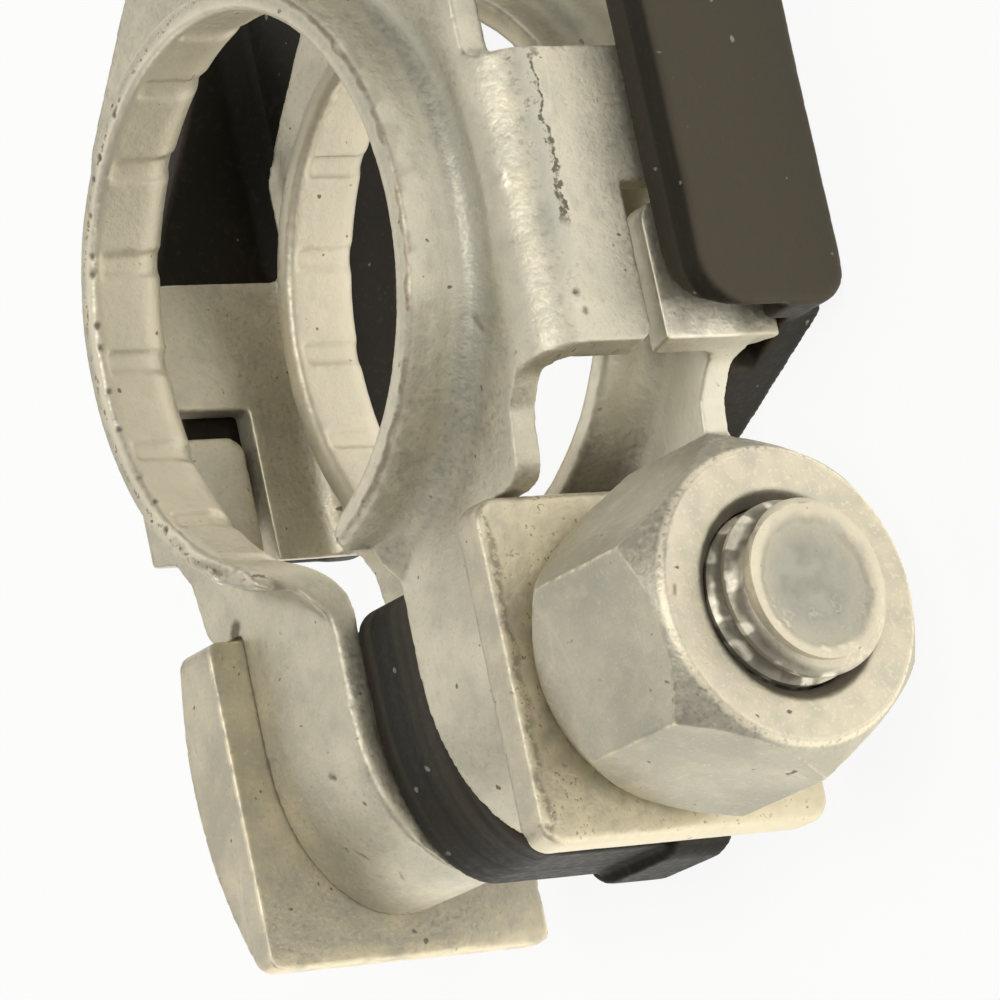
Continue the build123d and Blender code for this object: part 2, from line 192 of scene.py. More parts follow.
# %% [markdown]
# ## Worn copies
# Pressed steel never has a knife edge: cutting, plating and handling round each one by about a
# tenth of a millimetre. A bevel would do it on a simple block, but the strap has drawn collars
# and slots that cross each other. So each solid is rebuilt on a fine grid, its grid points are
# drawn back onto the true surface and onto its true edges, and a few smoothing passes then round
# every edge by the same small amount.

# %% Rebuild a solid on a fine grid
SHARP = math.radians(32)
EDGE_PULL = 0.75


def merged_mesh(node):
    """The node's mesh with its loose triangles joined, as a bmesh."""
    solid = bmesh.new()
    solid.from_mesh(nodes[node].data)
    bmesh.ops.remove_doubles(solid, verts=solid.verts, dist=1e-7)
    return solid


def get_points(mesh):
    points = np.empty(len(mesh.vertices) * 3)
    mesh.vertices.foreach_get("co", points)
    return points.reshape(-1, 3)


def set_points(mesh, points):
    mesh.vertices.foreach_set("co", np.ascontiguousarray(points, dtype=np.float32).ravel())
    mesh.update()


def neighbour_mean(mesh, points, passes, hold=None):
    """Points drawn to the mean of their neighbours, over and over; hold is 0 where they are free."""
    ends = np.empty(len(mesh.edges) * 2, dtype=np.int64)
    mesh.edges.foreach_get("vertices", ends)
    first, second = ends[0::2], ends[1::2]
    count = np.bincount(ends, minlength=len(points)).astype(float)[:, None]
    for _ in range(passes):
        total = np.empty_like(points)
        for axis in range(points.shape[1]):
            total[:, axis] = np.bincount(first, points[second, axis], len(points))
            total[:, axis] += np.bincount(second, points[first, axis], len(points))
        step = (total / count - points) * 0.5
        points = points + (step if hold is None else step * (1 - hold[:, None]))
    return points


def fine_copy(node, name, voxel, passes):
    """A new piece with the node's shape on a grid of voxel mm, its edges rounded by the passes."""
    voxel = voxel * 1 * MM
    solid = merged_mesh(node)
    tree = BVHTree.FromBMesh(solid)
    sharp = [e for e in solid.edges if len(e.link_faces) == 2 and e.calc_face_angle() > SHARP]
    marks = []
    for edge in sharp:
        start, end = (v.co for v in edge.verts)
        count = max(1, int((end - start).length / (voxel * 0.25)))
        marks += [start.lerp(end, i / count) for i in range(count + 1)]
    edge_points = kdtree.KDTree(len(marks))
    for index, mark in enumerate(marks):
        edge_points.insert(mark, index)
    edge_points.balance()

    mesh = bpy.data.meshes.new(name)
    solid.to_mesh(mesh)
    solid.free()
    piece = bpy.data.objects.new(name, mesh)
    bpy.context.scene.collection.objects.link(piece)
    grid = piece.modifiers.new("grid", "REMESH")
    grid.mode = "VOXEL"
    grid.voxel_size = voxel
    shape = bpy.context.evaluated_depsgraph_get()
    dense = bpy.data.meshes.new_from_object(piece.evaluated_get(shape))
    piece.modifiers.clear()
    piece.data = dense
    dense.name = name
    bpy.data.meshes.remove(mesh)

    points = get_points(dense)
    for index in range(len(points)):
        mark, _, away = edge_points.find(points[index])
        if away < voxel * EDGE_PULL:
            points[index] = mark
        else:
            near = tree.find_nearest(points[index])[0]
            if near is not None:
                points[index] = near
    set_points(dense, neighbour_mean(dense, points, passes))
    print(name, "grid faces:", len(dense.polygons), "edge marks:", len(marks))
    return piece


def face_normals(mesh):
    normals = np.empty(len(mesh.vertices) * 3)
    mesh.vertices.foreach_get("normal", normals)
    return normals.reshape(-1, 3)


print("tools for fine copies are ready")


# %% [markdown]
# ## Knocks and wear
# A stamped part is never quite flat, and it has been dropped in a tray with others. Small tools
# work on the fine grid: a further softening where the sheet was drawn hard, a slow swell over the
# whole surface, presses that push in a round or long hollow, and nicks that bite only where the
# surface is an edge. Two measures stay on the mesh for the finish: how much a place is an edge or
# a hollow, and how dark a press left it or how much painted highlight it gets.

# %% Tools for a worn surface
FULL_EDGE = 0.035
PRESS_REACH = 5


def edge_measure(mesh, points, passes=5):
    """How far each point stands out of the mean surface around it, in mm; hollows are negative."""
    mesh.update()
    away = points - neighbour_mean(mesh, points, passes)
    return np.einsum("ij,ij->i", away, face_normals(mesh)) / MM


def field(points, scale, seed, octaves=3, where=None):
    """Smooth noise from -1 to 1, its features about 1/scale metres wide; 0 outside the mask where."""
    shift = Vector((seed * 7.13, seed * 3.71, seed * 5.37))
    values = np.zeros(len(points))
    wanted = np.arange(len(points)) if where is None else np.flatnonzero(where)
    values[wanted] = [
        noise.fractal(Vector(p) * scale + shift, 1.0, 2.0, octaves) for p in points[wanted].tolist()
    ]
    return values


def along(points, start, end):
    """Distance in mm of each point from the line between two places in mm."""
    start, end = np.array(start, dtype=float), np.array(end, dtype=float)
    place = points / MM - start
    line = end - start
    length = float(line @ line)
    part = np.clip(place @ line / length, 0, 1) if length else np.zeros(len(points))
    return np.linalg.norm(place - part[:, None] * line, axis=1)


def soften(piece, places, passes):
    """Rounds the surface further within a radius of each line (start, end, radius), in mm."""
    points = get_points(piece.data)
    free = np.zeros(len(points))
    for start, end, radius in places:
        free = np.maximum(free, np.clip(2 - 2 * along(points, start, end) / radius, 0, 1))
    set_points(piece.data, neighbour_mean(piece.data, points, passes, 1 - free))


def wear(piece, swell, nick, presses=(), seed=1):
    """Swell and nick in mm; each press is (start, end, radius, depth, tone), depth inwards."""
    mesh = piece.data
    points = get_points(mesh)
    low, high = points.min(axis=0), points.max(axis=0)
    normals = face_normals(mesh)
    edge = edge_measure(mesh, points)
    move = field(points, 330, seed, 2) * swell
    bites = np.clip(field(points, 2400, seed + 1, where=edge > 0) * 2.2 - 0.3, 0, 1)
    move -= bites * np.clip(edge / FULL_EDGE, 0, 1) * nick
    mark = np.zeros(len(points))
    reaches = [along(points, start, end) / radius for start, end, radius, _, _ in presses]
    close = np.min(reaches, axis=0) < PRESS_REACH if presses else np.zeros(len(points), bool)
    ragged = 1 + 0.45 * field(points, 3100, seed + 2, where=close)
    for reach, (_, _, _, depth, tone) in zip(reaches, presses):
        away = reach * ragged
        mask = np.exp(-away * away)
        move -= mask * depth
        # mark keeps each press's tone: a negative tone is a dark scar, a positive one a painted
        # highlight
        mark = np.where(mask * abs(tone) > np.abs(mark), mask * tone, mark)
    points = np.clip(points + normals * move[:, None] * MM, low, high)
    set_points(mesh, points)
    edge = edge_measure(mesh, points)
    for name, values in (("edge", edge / 0.03), ("mark", mark)):
        keep = mesh.attributes.new(name, "FLOAT", "POINT")
        keep.data.foreach_set("value", np.clip(values, -1, 1).astype(np.float32))
    mesh.shade_smooth()


def thin_out(piece, most):
    """Fewer triangles where the surface is flat, so that the piece stays light."""
    count = len(piece.data.polygons) * 2
    if count > most:
        thin = piece.modifiers.new("thin", "DECIMATE")
        thin.ratio = most / count
        shape = bpy.context.evaluated_depsgraph_get()
        lighter = bpy.data.meshes.new_from_object(
            piece.evaluated_get(shape), preserve_all_data_layers=True, depsgraph=shape
        )
        piece.modifiers.clear()
        old = piece.data
        piece.data = lighter
        bpy.data.meshes.remove(old)
    print(piece.name, "triangles:", sum(len(p.vertices) - 2 for p in piece.data.polygons))


print("tools for wear are ready; a press fades out within", PRESS_REACH, "radii")


# %% [markdown]
# ## Strap
# The strap is cut and folded from one sheet. Its collars were drawn through it, which left
# wrinkles and smears at the ends of each ring, where the metal had nowhere to go. The fold that
# leads down to the left ear is rounded and scarred, and the bend on the right is crazed.

# %% Worn strap
MOST_TRIANGLES = 190000

strap = fine_copy("clamp_strap", "strap_worn", 0.1, 4)
STRAP_SOFT = (
    ((-5.6, -7.9, 6.8), (-2.2, -9.3, 6.2), 1.3),
    ((-2.2, -9.3, 6.2), (-2.2, -12.6, 4.4), 1.1),
    ((-2.2, -12.6, 4.4), (-2.2, -18.0, 3.2), 0.9),
)
soften(strap, STRAP_SOFT, 34)
BORE_SOFT = (
    ((0, 0, 6.8), (0, 0, 3.8), 18.6),
    ((0, 0, -3.8), (0, 0, -6.8), 18.6),
)
soften(strap, BORE_SOFT, 4)

# %% Knocks on the strap, each as (start, end, radius, depth, tone)
# A positive tone paints a highlight on the press; a negative tone darkens a scar.
STRAP_KNOCKS = (
    ((-5.9, -7.75, 6.8), (-4.6, -8.2, 6.8), 0.22, 0.07, -0.5),
    ((-4.9, -8.35, 6.7), (-3.4, -8.9, 6.5), 0.20, 0.10, -0.8),
    ((-4.6, -8.9, 6.3), (-3.7, -9.4, 6.0), 0.20, 0.10, -0.7),
    ((-5.0, -8.6, 6.6), (-4.7, -8.8, 6.4), 0.22, -0.05, 1.0),
    ((-4.2, -9.2, 6.2), (-4.0, -9.4, 6.1), 0.14, -0.03, 1.0),
    ((-3.4, -9.1, 6.4), (-2.4, -9.6, 5.9), 0.24, 0.06, -0.6),
    ((-6.8, -6.6, 6.8), (-6.4, -7.0, 6.8), 0.22, 0.08, -0.3),
    ((9.6, -4.3, 4.5), (9.7, -4.7, 4.4), 0.12, 0.02, -0.5),
    ((12.7, -5.0, 2.4), (12.7, -5.1, 2.4), 0.12, 0.04, -0.7),
    ((-4.4, -15.8, 4.1), (-4.2, -15.9, 4.1), 0.12, 0.07, -0.7),
    ((-2.15, -13.3, 4.3), (-2.15, -13.9, 4.2), 0.15, 0.07, 0.0),
    ((-4.7, -16.4, 3.9), (-5.4, -17.4, 3.5), 0.09, 0.03, -0.55),
    ((-3.2, -17.2, 3.6), (-3.9, -18.4, 2.9), 0.09, 0.03, -0.55),
    ((-5.6, -17.6, 3.4), (-5.0, -18.6, 2.9), 0.09, 0.03, -0.55),
    ((-6.9, -16.4, 3.9), (-6.3, -18.0, 3.2), 0.08, 0.03, -0.55),
    ((-4.2, -19.0, 2.3), (-4.7, -19.6, 1.9), 0.10, 0.03, -0.5),
    ((11.9, 3.1, 3.5), (12.0, 1.2, 3.5), 0.35, 0.03, 0.0),
    ((11.7, 1.6, 3.8), (11.8, 1.1, 3.8), 0.16, -0.03, 1.0),
    ((11.6, 0.5, 3.9), (11.8, -0.5, 3.8), 0.20, -0.04, 1.0),
    ((11.7, -1.0, 3.8), (11.8, -1.5, 3.8), 0.14, -0.03, 0.9),
    ((11.9, -3.0, 3.6), (12.0, -3.6, 3.5), 0.12, -0.03, 1.0),
    ((12.7, 2.6, 1.4), (12.7, 1.9, 1.2), 0.10, -0.02, 0.9),
    ((12.7, 1.7, 1.6), (12.7, 1.6, 0.9), 0.09, -0.02, 1.0),
    ((12.7, 1.7, 0.7), (12.7, 1.9, 0.2), 0.09, -0.02, 1.0),
    ((12.7, -1.2, 2.4), (12.7, -2.0, 2.35), 0.10, 0.05, 0.0),
    ((9.6, 3.4, 4.6), (9.7, 2.9, 4.6), 0.12, 0.04, -0.4),
)
STRAP_PITS = (
    (-7.2, -6.17, 6.8), (-7.74, -4.97, 6.6), (-7.9, 5.3, 6.8), (-7.25, 6.42, 6.8), (-9.05, 1.7, 6.63),
    (-8.38, 3.98, 6.74), (-9.15, 0.97, 6.61), (12.67, -4.45, 2.62), (-8.6, 3.4, 6.75), (-9.2, -0.6, 6.6),
    (-9.0, -2.0, 6.65), (-6.6, 7.0, 6.8), (-5.2, 8.0, 6.8), (-8.3, -3.9, 6.7),
)
SLOT_STAIN = ((-8.0, -9.6, 4.3), (-8.1, -9.8, 4.3), 0.28, 0.03, -1.0)
presses = [*STRAP_KNOCKS, *((pit, pit, 0.13, 0.05, -1.0) for pit in STRAP_PITS), SLOT_STAIN]
wear(strap, swell=0.016, nick=0.03, presses=presses, seed=1)
thin_out(strap, MOST_TRIANGLES)
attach(strap, "clamp")
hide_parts("clamp_strap")

# %% [markdown]
# ## Bolt
# The head is forged, so its edges are chipped and a little rough. The shank's thread is rolled.
# It could be cut with ridges side by side, but only a true helix meets the nut at the right
# height all the way round. So the zigzag of the thread is spun once about the bolt's axis while
# it moves along by one pitch, and each turn then joins on to the next one.

# %% Head and plain shank
BOLT_Y = -15.8
PITCH = 1.0
CREST_R = 2.94
ROOT_R = 2.50
TIP_X = 18.2
RIM_R = 2.5
THREAD_FROM = -0.5

head = fine_copy("t_bolt", "bolt_worn", 0.105, 2)
wear(head, swell=0.012, nick=0.04, seed=5)
work = bmesh.new()
work.from_mesh(head.data)
everything = work.verts[:] + work.edges[:] + work.faces[:]
cut = bmesh.ops.bisect_plane(
    work, geom=everything, plane_co=(THREAD_FROM * MM, 0, 0), plane_no=(1, 0, 0), clear_outer=True
)
bmesh.ops.holes_fill(work, edges=[e for e in cut["geom_cut"] if isinstance(e, bmesh.types.BMEdge)])
work.to_mesh(head.data)
work.free()
thin_out(head, MOST_TRIANGLES)

# %% Rolled thread
TURNS = 128
ZIGZAG = ((0.0, ROOT_R), (0.12, ROOT_R), (0.44, CREST_R), (0.64, CREST_R))
WELD = 2e-6

thread = bmesh.new()
profile = []
for ridge in range(int((TIP_X + 1.5 - THREAD_FROM) / PITCH)):
    for part, radius in ZIGZAG:
        x = THREAD_FROM - 1 + (ridge + part) * PITCH
        profile.append(thread.verts.new((x * MM, (BOLT_Y + radius) * MM, 0)))
lines = [thread.edges.new(pair) for pair in zip(profile, profile[1:])]
bmesh.ops.spin(
    thread, geom=profile + lines, cent=(0, BOLT_Y * MM, 0), axis=(1, 0, 0),
    dvec=(PITCH * MM / TURNS, 0, 0), angle=math.tau, steps=TURNS,
)
bmesh.ops.remove_doubles(thread, verts=thread.verts, dist=WELD)
print("thread faces:", len(thread.faces))

# %% Chamfer and cut the thread
for vert in thread.verts:
    across = Vector((vert.co.y - BOLT_Y * MM, vert.co.z))
    most = (CREST_R - max(0.0, vert.co.x / MM - (TIP_X - (CREST_R - RIM_R)))) * MM
    if across.length > most:
        across *= max(most, RIM_R * MM) / across.length
        vert.co.y, vert.co.z = across.x + BOLT_Y * MM, across.y
for x, outer in ((TIP_X, True), (THREAD_FROM, False)):
    everything = thread.verts[:] + thread.edges[:] + thread.faces[:]
    bmesh.ops.bisect_plane(
        thread, geom=everything, plane_co=(x * MM, 0, 0), plane_no=(1, 0, 0),
        clear_outer=outer, clear_inner=not outer,
    )
print("thread faces after the cuts:", len(thread.faces))

# %% Dished end, spun from a line of (radius, dip)
BOWL = (
    (RIM_R, 0.0), (RIM_R - 0.1, 0.0), (2.25, -0.02), (2.08, -0.10), (1.92, -0.18), (1.6, -0.26),
    (1.1, -0.32), (0.55, -0.35), (0, -0.36),
)
ring = [thread.verts.new(((TIP_X + dip) * MM, (BOLT_Y + radius) * MM, 0)) for radius, dip in BOWL]
lines = [thread.edges.new(pair) for pair in zip(ring, ring[1:])]
bmesh.ops.spin(
    thread, geom=ring + lines, cent=(0, BOLT_Y * MM, 0), axis=(1, 0, 0),
    angle=math.tau, steps=TURNS, use_merge=True,
)
bmesh.ops.remove_doubles(thread, verts=thread.verts, dist=WELD)
bmesh.ops.holes_fill(thread, edges=[e for e in thread.edges if e.is_boundary])
bmesh.ops.recalc_face_normals(thread, faces=thread.faces)
print("open edges left on the thread:", sum(e.is_boundary for e in thread.edges))
shank_mesh = bpy.data.meshes.new("bolt_thread")
thread.to_mesh(shank_mesh)
thread.free()
shank_mesh.shade_smooth()
shank = bpy.data.objects.new("bolt_thread", shank_mesh)
bpy.context.scene.collection.objects.link(shank)
crests = shank.modifiers.new("crests", "BEVEL")
crests.width = 0.04 * MM
crests.segments = 2
crests.limit_method = "ANGLE"
crests.angle_limit = math.radians(25)
for piece in (head, shank):
    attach(piece, "clamp")
    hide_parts("t_bolt")

# %% [markdown]
# ## Washer and nut
# The washer is sheared from plate, and its edges are knocked. The nut is turned from bar: its
# chamfers catch on everything.

# %% Worn washer and nut
washer = fine_copy("square_washer", "washer_worn", 0.08, 2)
# The second knock's positive tone paints a highlight on the washer's corner.
WASHER_KNOCKS = (
    ((7.9, -20.98, 5.6), (9.1, -20.9, 5.5), 0.16, 0.06, -0.6),
    ((8.95, -9.9, 6.1), (9.1, -9.8, 5.8), 0.14, 0.04, 1.0),
)
wear(washer, 0.012, 0.045, WASHER_KNOCKS, seed=11)
thin_out(washer, MOST_TRIANGLES)
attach(washer, "washer")
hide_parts("square_washer")

nut = fine_copy("hex_nut", "nut_worn", 0.085, 2)
NUT_KNOCKS = (
    ((12.6, -11.2, 2.6), (12.9, -11.3, 2.7), 0.25, 0.03, 0.0),
    ((16.71, -15.3, 4.35), (16.7, -15.5, 4.4), 0.09, 0.03, -0.6),
)
wear(nut, 0.010, 0.04, NUT_KNOCKS, seed=15)
thin_out(nut, MOST_TRIANGLES)
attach(nut, "nut")
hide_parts("hex_nut")

# %% [markdown]
# ## Saddle
# The saddle is moulded, so its edges are soft, and the tab that follows the ears shows faint
# lengthwise streaks from the tool. Its left arm stands a little higher along its slope than the
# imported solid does, so that no daylight shows between the arm and the ring.

# %% Worn saddle
ARM_SLOPE_FROM = 2.8
ARM_RAISE = 0.9

saddle = fine_copy("plastic_saddle", "saddle_worn", 0.12, 7)
points = get_points(saddle.data)
low, high = points.min(axis=0), points.max(axis=0)
x, y, z = (points / MM).T
on_arm = np.clip((-12.4 - x) / 0.5, 0, 1)
on_slope = np.clip((y - ARM_SLOPE_FROM) / 2.0, 0, 1) * np.clip((z + 6.4) / 2.0, 0, 1)
points[:, 2] += ARM_RAISE * MM * on_arm * on_slope
set_points(saddle.data, np.clip(points, low, high))
wear(saddle, 0.010, 0.02, seed=21)
thin_out(saddle, 120000)
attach(saddle, "clamp")
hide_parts("plastic_saddle")

# %% [markdown]
# ## Satin plating
# The steel is plated and then handled: grey with a warm tint, painted a little darker in hollows
# as shade, and rubbed paler and yellowish along its edges. A painted picture could show this, but
# it would need unwrapping and would blur close up. So layers of noise at the surface's own place
# give clouds, grain, hair scratches and pits, and the measures kept on each mesh say where it is
# rubbed or scarred, where shade is painted into a hollow and where a highlight is painted. First
# come small helpers that add nodes, so that a finish reads like a recipe.

# %% Helpers that add nodes
def ramp(net, source, low, high, first=0.0, last=1.0):
    """A value that goes from first to last while the source goes from low to high."""
    return put(net, "ShaderNodeMapRange", ins={
        "Value": source, "From Min": low, "From Max": high, "To Min": first, "To Max": last
    }).outputs[0]


def maths(net, operation, first, second=0.0):
    return put(net, "ShaderNodeMath", operation=operation, ins={0: first, 1: second}).outputs[0]


def both(net, mask, *others):
    """The product of masks and strengths: it shows only where all of them do."""
    for other in others:
        mask = maths(net, "MULTIPLY", mask, other)
    return mask


def between(net, source, rise, fall):
    """A mask that fades in over the pair of values rise and fades out over the pair fall."""
    return both(net, ramp(net, source, *rise), ramp(net, source, *fall))


def line_at(net, source, centre, outer, inner):
    """A mask along the line where the source equals the centre, faded from outer to inner."""
    away = maths(net, "ABSOLUTE", maths(net, "SUBTRACT", source, centre))
    return ramp(net, away, outer, inner)


def paint(net, tone, colour, *masks):
    """The tone with a colour laid over it as far as every mask lets it show."""
    amount = both(net, *masks)
    under, over = ((*c, 1) if isinstance(c, tuple) else c for c in (tone, colour))
    return put(net, "ShaderNodeMix", data_type="RGBA", ins={0: amount, 6: under, 7: over}).outputs[2]


def more(net, dirt_and_shade, *masks):
    """Dirt and painted shade added where the masks show, unless there is more already."""
    return maths(net, "MAXIMUM", dirt_and_shade, both(net, *masks))


def vector(net, operation, first, second):
    return put(net, "ShaderNodeVectorMath", operation=operation, ins={0: first, 1: second}).outputs[0]


def length(net, place):
    return put(net, "ShaderNodeVectorMath", operation="LENGTH", ins={0: place}).outputs["Value"]


def from_bolt_axis(net, place):
    """Distance in metres from the line through the middle of the bolt."""
    moved = vector(net, "SUBTRACT", place, (0, BOLT_Y * MM, 0))
    return length(net, vector(net, "MULTIPLY", moved, (0, 1, 1)))


def grain(net, place, scale, detail=1.0, rough=0.55, stretch=None):
    """Noise at the surface's own place, stretched along an axis where asked."""
    if stretch is not None:
        place = vector(net, "MULTIPLY", place, stretch)
    return put(net, "ShaderNodeTexNoise", ins={
        "Scale": scale, "Vector": place, "Detail": detail, "Roughness": rough
    }).outputs[0]


def hair_lines(net, place, scale, stretch, width):
    """Long thin lines: the places where a stretched noise crosses its middle value."""
    return line_at(net, grain(net, place, scale, 0.0, 0.5, stretch), 0.5, width, width * 0.3)


def new_finish(name):
    """A new material, its node tree, its main shader and the surface's own place."""
    finish = bpy.data.materials.new(name)
    finish.use_nodes = True
    net = finish.node_tree
    return finish, net, net.nodes["Principled BSDF"], put(net, "ShaderNodeTexCoord").outputs["Object"]


print("helpers for finishes are ready")

# %% [markdown]
# ## The common plating
# All steel pieces share one recipe, with their own base tones. Each may also name a function
# that adds marks only that piece has. The marks are laid between the clouds and the worn
# edges, so that an edge that is rubbed bright stays bright over a stain.

# %% Plating recipe
GREY = (0.43, 0.42, 0.35)
STRAW = (0.78, 0.69, 0.50)
DIRT_AND_SHADE = (0.12, 0.10, 0.075)
PALE_GRAIN = (0.86, 0.81, 0.68)
DARK_GRAIN = (0.30, 0.275, 0.21)
HAIR_TONE = (0.82, 0.77, 0.64)
RUBBED = (0.84, 0.76, 0.57)
HOLLOW_SHADE = (0.25, 0.215, 0.15)
PAINTED_GLEAM = (0.93, 0.87, 0.71)
SATIN = 0.5


def plating(name, dark, light, rub, yellow, marks):
    """Plated steel whose tone, edges and grain all come from the surface's own place."""
    finish, net, skin, place = new_finish(name)
    skin.inputs["Metallic"].default_value = 0.8
    skin.inputs["Specular IOR Level"].default_value = 0.0
    edge = put(net, "ShaderNodeAttribute", attribute_name="edge").outputs["Fac"]
    mark = put(net, "ShaderNodeAttribute", attribute_name="mark").outputs["Fac"]
    broad = grain(net, place, 260)
    patch = grain(net, place, 1150, rough=0.62)
    fine = grain(net, place, 5200, rough=0.7)

    # clouds, grain and a few hair scratches
    tone = paint(net, dark, light, ramp(net, broad, 0.38, 0.62))
    tone = paint(net, tone, STRAW, ramp(net, patch, 0.52, 0.72, 0, yellow))
    tone = paint(net, tone, GREY, ramp(net, patch, 0.47, 0.30, 0, 0.35))
    tone = paint(net, tone, PALE_GRAIN, ramp(net, fine, 0.55, 0.85, 0, 0.36))
    tone = paint(net, tone, DARK_GRAIN, ramp(net, fine, 0.45, 0.22, 0, 0.35))
    hairs = hair_lines(net, place, 850, (1.0, 0.12, 0.5), 0.010)
    tone = paint(net, tone, HAIR_TONE, hairs, ramp(net, broad, 0.50, 0.62), 0.22)

    # pits, scars left by the presses, and the piece's own marks
    pits = both(net, ramp(net, grain(net, place, 3300, 0), 0.21, 0.17), ramp(net, patch, 0.52, 0.60))
    dirt_and_shade = more(net, pits, ramp(net, mark, -0.15, -0.75))
    tone, dirt_and_shade = marks(net, place, patch, fine, tone, dirt_and_shade)
    # painted highlight where a press left a positive mark
    painted_gleam = ramp(net, both(net, mark, ramp(net, patch, 0.38, 0.6, 0.5, 1.4)), 0.2, 0.9)

    # worn edges, and painted shade in hollows
    rubbed = both(net, ramp(net, edge, 0.25, 0.8, 0, rub), ramp(net, patch, 0.34, 0.56, 0.15, 1))
    tone = paint(net, tone, RUBBED, rubbed)
    tone = paint(net, tone, HOLLOW_SHADE, ramp(net, edge, -0.15, -0.9, 0, 0.45))
    # paints dirt, and painted shade where a piece's marks put it into a recess
    tone = paint(net, tone, DIRT_AND_SHADE, dirt_and_shade, 0.72)
    tone = paint(net, tone, PAINTED_GLEAM, painted_gleam, 0.7)
    net.links.new(tone, skin.inputs["Base Color"])

    # dirt and painted shade are duller than plating, and a painted gleam is smoother
    dull = ramp(net, fine, 0.3, 0.7, SATIN - 0.07, SATIN + 0.09)
    dull = maths(net, "ADD", dull, both(net, dirt_and_shade, 0.2))
    net.links.new(maths(net, "SUBTRACT", dull, both(net, painted_gleam, 0.2)), skin.inputs["Roughness"])
    height = maths(net, "ADD", both(net, fine, 0.7), both(net, patch, 1.1))
    bump = put(net, "ShaderNodeBump", ins={"Strength": 0.55, "Distance": 0.04 * MM, "Height": height})
    net.links.new(bump.outputs[0], skin.inputs["Normal"])
    print(name, "nodes:", len(net.nodes))
    return finish


# %% [markdown]
# ## Marks on the strap
# The post has burnished both bores, and their paler tone is partly painted light. The sheet was
# stretched most along the right bend, where its plating crazed and then cracked in one dark,
# wandering line. Painted shade darkens the foot of the front collar on its right, painted light
# brightens the rear collar's lower right side and the lug below the right arm, and the collar's
# rim keeps a thin brown line where it was trimmed. All of these have a place on the strap, so each
# mask is a range of x, y, z or of the distance from the middle of the bores, made ragged by the
# same noise as the rest.

# %% Strap marks
BORE_BURNISH_AND_LIGHT = (0.84, 0.775, 0.625)
FOOT_PAINTED_SHADE = (0.37, 0.37, 0.315)
BACK_PAINTED_LIGHT = (0.90, 0.87, 0.74)
LUG_PAINTED_LIGHT = (0.97, 0.91, 0.76)
CRAZED = (0.42, 0.42, 0.365)
CRACK = (0.13, 0.115, 0.09)
TRIM_BROWN = (0.25, 0.195, 0.125)
CRACK_Z = 2.32 * MM
RIM_LEFT = 9.62 * MM
RIM_RIGHT = 9.98 * MM


def strap_marks(net, place, patch, fine, tone, dirt_and_shade):
    """Bores burnished and partly painted light, painted shade and light, a cracked bend, a brown rim."""
    reach = length(net, vector(net, "MULTIPLY", place, (1, 1, 0)))
    axes = put(net, "ShaderNodeSeparateXYZ", ins={0: place})
    x, y, z = (axes.outputs[a] for a in "XYZ")
    # the bores are paler: burnished by the post, and partly painted light
    tone = paint(net, tone, BORE_BURNISH_AND_LIGHT, ramp(net, reach, 0.0097, 0.0094, 0, 0.55))

    # painted shade at the foot of the front collar, on its right side
    painted_foot = between(net, reach, (0.0100, 0.0105), (0.0118, 0.0110))
    tone = paint(net, tone, FOOT_PAINTED_SHADE, painted_foot, ramp(net, x, 0.0045, 0.0085, 0, 0.5))
    # painted light on the rear collar's lower right side
    back_painted_light = both(net, ramp(net, z, 0.0004, -0.0008), ramp(net, y, -0.0045, -0.0060))
    tone = paint(net, tone, BACK_PAINTED_LIGHT, back_painted_light, between(net, x, (0.0055, 0.0065), (0.0122, 0.0110)), 0.6)
    # painted light on the lug below the right arm
    lug_painted_light = both(net, ramp(net, x, 0.01258, 0.01266), ramp(net, y, -0.0047, -0.0050))
    lug_painted_light = both(net, lug_painted_light, between(net, z, (-0.0004, -0.0008), (-0.0038, -0.0033)))
    tone = paint(net, tone, LUG_PAINTED_LIGHT, lug_painted_light, ramp(net, patch, 0.3, 0.55, 0.6, 1))

    # the crack is wider and darker at its lower end, and broken into dots at the upper one
    wander = ramp(net, patch, 0.3, 0.7, -0.22 * MM, 0.22 * MM)
    off = maths(net, "ADD", maths(net, "SUBTRACT", z, CRACK_Z), wander)
    here = both(net, between(net, y, (-0.0023, -0.0018), (0.0042, 0.0034)), ramp(net, x, 0.0108, 0.0116))
    broken = ramp(net, fine, 0.40, 0.56, 0.01 * MM, 0.10 * MM)
    half = both(net, broken, ramp(net, y, 0.003, -0.0012, 0.8, 1.3))
    line = ramp(net, maths(net, "SUBTRACT", maths(net, "ABSOLUTE", off), half), 0.04 * MM, -0.03 * MM)
    band = between(net, off, (-0.0001, 0.0002), (0.0011, 0.0005))
    band = both(net, band, ramp(net, y, -0.0050, -0.0015), ramp(net, x, 0.0100, 0.0116))
    tone = paint(net, tone, CRAZED, band, 0.5)
    tone = paint(net, tone, CRACK, line, here, 0.9)
    dirt_and_shade = more(net, dirt_and_shade, ramp(net, fine, 0.47, 0.38), ramp(net, patch, 0.42, 0.56), band, 0.7)

    # the rim's line is broken on the left and nearly whole on the right
    wavy = maths(net, "ADD", reach, ramp(net, patch, 0.3, 0.7, -0.09 * MM, 0.09 * MM))
    rim = line_at(net, wavy, ramp(net, x, -0.003, 0.005, RIM_LEFT, RIM_RIGHT), 0.11 * MM, 0.03 * MM)
    rim = both(net, rim, ramp(net, z, 0.0055, 0.0060), ramp(net, patch, 0.36, 0.50, 0.35, 1))
    broken = maths(net, "MAXIMUM", ramp(net, fine, 0.50, 0.62), ramp(net, x, 0.001, 0.005, 0, 0.75))
    return paint(net, tone, TRIM_BROWN, rim, broken, 0.85), dirt_and_shade


strap_finish = plating(
    "strap_plating", (0.55, 0.52, 0.415), (0.65, 0.61, 0.485), rub=0.2, yellow=0.2, marks=strap_marks
)

